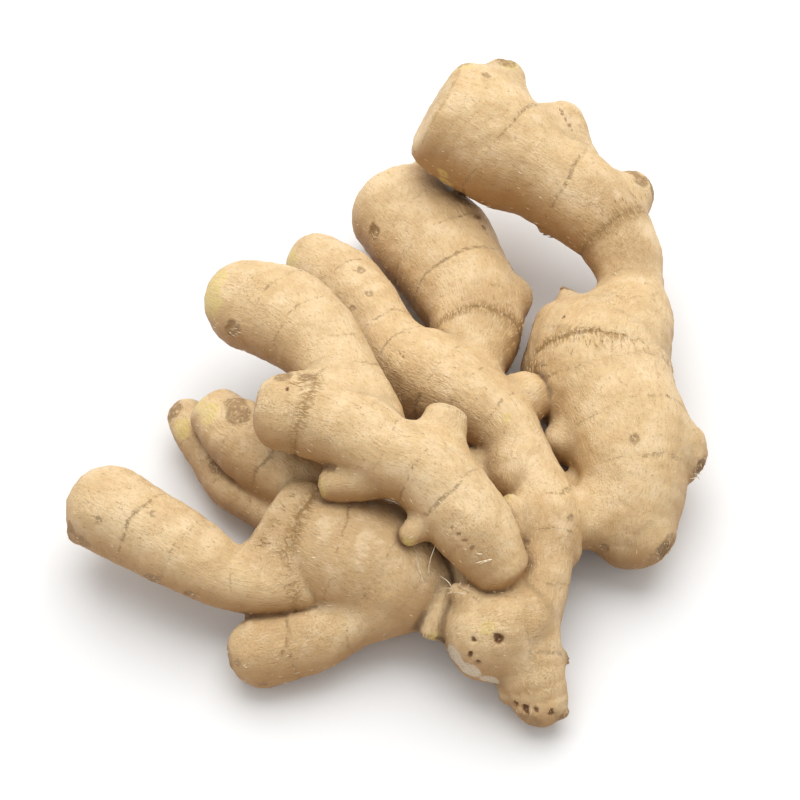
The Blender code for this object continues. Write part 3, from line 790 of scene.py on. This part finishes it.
# Threads of dead rootlets: pale tufts beside the frayed stub and in the hollow between the middle
# fingers, each thread curling away from where it grew. Each tuft has its place and heading, its count of
# threads and their length.
ROOTLETS = [
    ((12, -72, 27), (-0.3, 0.4, 0.6), 7, 6.5), ((16, -76, 27), (0.1, -0.2, 0.8), 6, 5.0),
    ((20, -75, 28), (0.5, 0.3, 0.5), 6, 4.5), ((24, -70, 36), (-0.6, -0.3, 0.4), 4, 3.5),
    ((20, -36, 26), (0.3, -0.5, 0.7), 5, 4.0), ((17, -38, 24), (-0.2, -0.4, 0.8), 4, 3.0),
    ((83, -36, 20), (0.8, -0.2, 0.1), 3, 2.2), ((-50, -28, 15), (-0.6, -0.5, 0.3), 3, 2.0)]
ROOT_SUNK = 0.3
TUFT_RADIUS = 2.2
THREAD_CURL, THREAD_SHARE, THREAD_WIDTH = 0.8, (0.5, 1.1), (0.12, 0.22)
draw = random.Random(3)
strands = []
for place, heading, count, length in ROOTLETS:
    for _ in range(count):
        near = np.array(place, float) + [draw.uniform(-TUFT_RADIUS, TUFT_RADIUS) for _ in range(3)]
        root_end, out = settled(near[None])
        root_end, out = Vector(root_end[0]), Vector(out[0])
        curl = Vector([draw.uniform(-THREAD_CURL, THREAD_CURL) for _ in range(3)])
        reach_out = length * draw.uniform(*THREAD_SHARE)
        path = [root_end - ROOT_SUNK * out + Vector(heading) * reach_out * t + curl * reach_out * t * t
                for t in (0, 0.3, 0.6, 0.85, 1)]
        width = draw.uniform(*THREAD_WIDTH)
        strands.append((path, out, (width, width * 0.9, width * 0.8, width * 0.6, 0.03), 0.9))
dressing("rootlets", strands, (0.62, 0.47, 0.27), (0.82, 0.74, 0.58))

# Scales of dry leaf sheath that still cling: dark curled tips on the third finger's edge, on the lobe's
# top bud and under the long arm. Each has its place and heading, its length and its half width.
SCALES = [
    ((24, 46, 29), (0.9, -0.3, -0.1), 2.6, 1.1), ((26, 43, 28), (0.6, -0.7, 0.0), 2.2, 0.9),
    ((49, 24, 23), (-0.3, 0.7, 0.1), 1.6, 0.8), ((47, 43, 29), (-0.6, -0.3, -0.1), 3.2, 1.2),
    ((50, 43, 30), (-0.8, -0.1, 0.0), 3.6, 1.1)]
SCALE_LEANS, SCALE_SHARE, CURL = (-0.35, 0, 0.3), (0.6, 1.0), 0.12
draw = random.Random(2)
strands = []
for place, heading, length, width in SCALES:
    root_end, out = settled(np.array([place], float))
    root_end, out = Vector(root_end[0]), Vector(out[0])
    for lean in SCALE_LEANS:
        way = Vector(heading) + Vector(heading).cross(out) * lean
        size = length * draw.uniform(*SCALE_SHARE)
        path = [root_end - ROOT_SUNK * out + way * size * t - out * CURL * size * t * t
                for t in (0, 0.35, 0.7, 1)]
        strands.append((path, out, (width, width * 0.9, width * 0.5, 0.04), 0.2))
dressing("dry_scales", strands, (0.20, 0.11, 0.05), (0.42, 0.26, 0.12))

# The table: a plain white sweep that the root's soft shadow falls on.
bm = bmesh.new()
bmesh.ops.create_grid(bm, x_segments=1, y_segments=1, size=4.0)
mesh = bpy.data.meshes.new("table")
bm.to_mesh(mesh)
bm.free()
table = bpy.data.objects.new("table", mesh)
bpy.context.scene.collection.objects.link(table)
material = bpy.data.materials.new("white table")
material.use_nodes = True
shader = material.node_tree.nodes["Principled BSDF"]
shader.inputs["Base Color"].default_value = colour(0.82, 0.82, 0.815)
shader.inputs["Roughness"].default_value = 0.8
shader.inputs["Specular IOR Level"].default_value = 0.1
mesh.materials.append(material)

# The light: an even white room and one large soft lamp high over the far side of the table.
ROOM_LIGHT = 0.74
LAMP_SIZE, LAMP_WATTS = 1.2, 13
LAMP_PLACE = Vector((0.03, 0.46, 1.04))
LIT_PLACE = Vector((0, 0, 0.02))
world = bpy.data.worlds.new("room")
world.use_nodes = True
world.node_tree.nodes["Background"].inputs["Color"].default_value = colour(1, 1, 1)
world.node_tree.nodes["Background"].inputs["Strength"].default_value = ROOM_LIGHT
bpy.context.scene.world = world
light = bpy.data.lights.new("soft lamp", "AREA")
light.size = LAMP_SIZE
light.energy = LAMP_WATTS
lamp = bpy.data.objects.new("soft lamp", light)
lamp.location = LAMP_PLACE
lamp.rotation_euler = (LIT_PLACE - LAMP_PLACE).to_track_quat("-Z", "Y").to_euler()
bpy.context.scene.collection.objects.link(lamp)

# The camera, where the photograph was taken from: looking along +Y and down at 55 degrees.
PHOTO_WIDTH, PIXEL = 800, 0.273 * MM
SEEN_WIDTH = PHOTO_WIDTH * PIXEL
LENS, SENSOR = 85.0, 36.0
LOOK_DOWN = math.radians(55)
TARGET = Vector((2.45 * MM, -4.2 * MM, 20 * MM))
camera = bpy.data.objects.new("camera", bpy.data.cameras.new("camera"))
camera.data.lens = LENS
camera.data.sensor_width = SENSOR
distance = SEEN_WIDTH * LENS / SENSOR
camera.location = TARGET + distance * Vector((0, -math.cos(LOOK_DOWN), math.sin(LOOK_DOWN)))
camera.rotation_euler = (math.pi / 2 - LOOK_DOWN, 0, 0)
bpy.context.scene.collection.objects.link(camera)
bpy.context.scene.camera = camera
bpy.context.scene.view_settings.view_transform = "Standard"
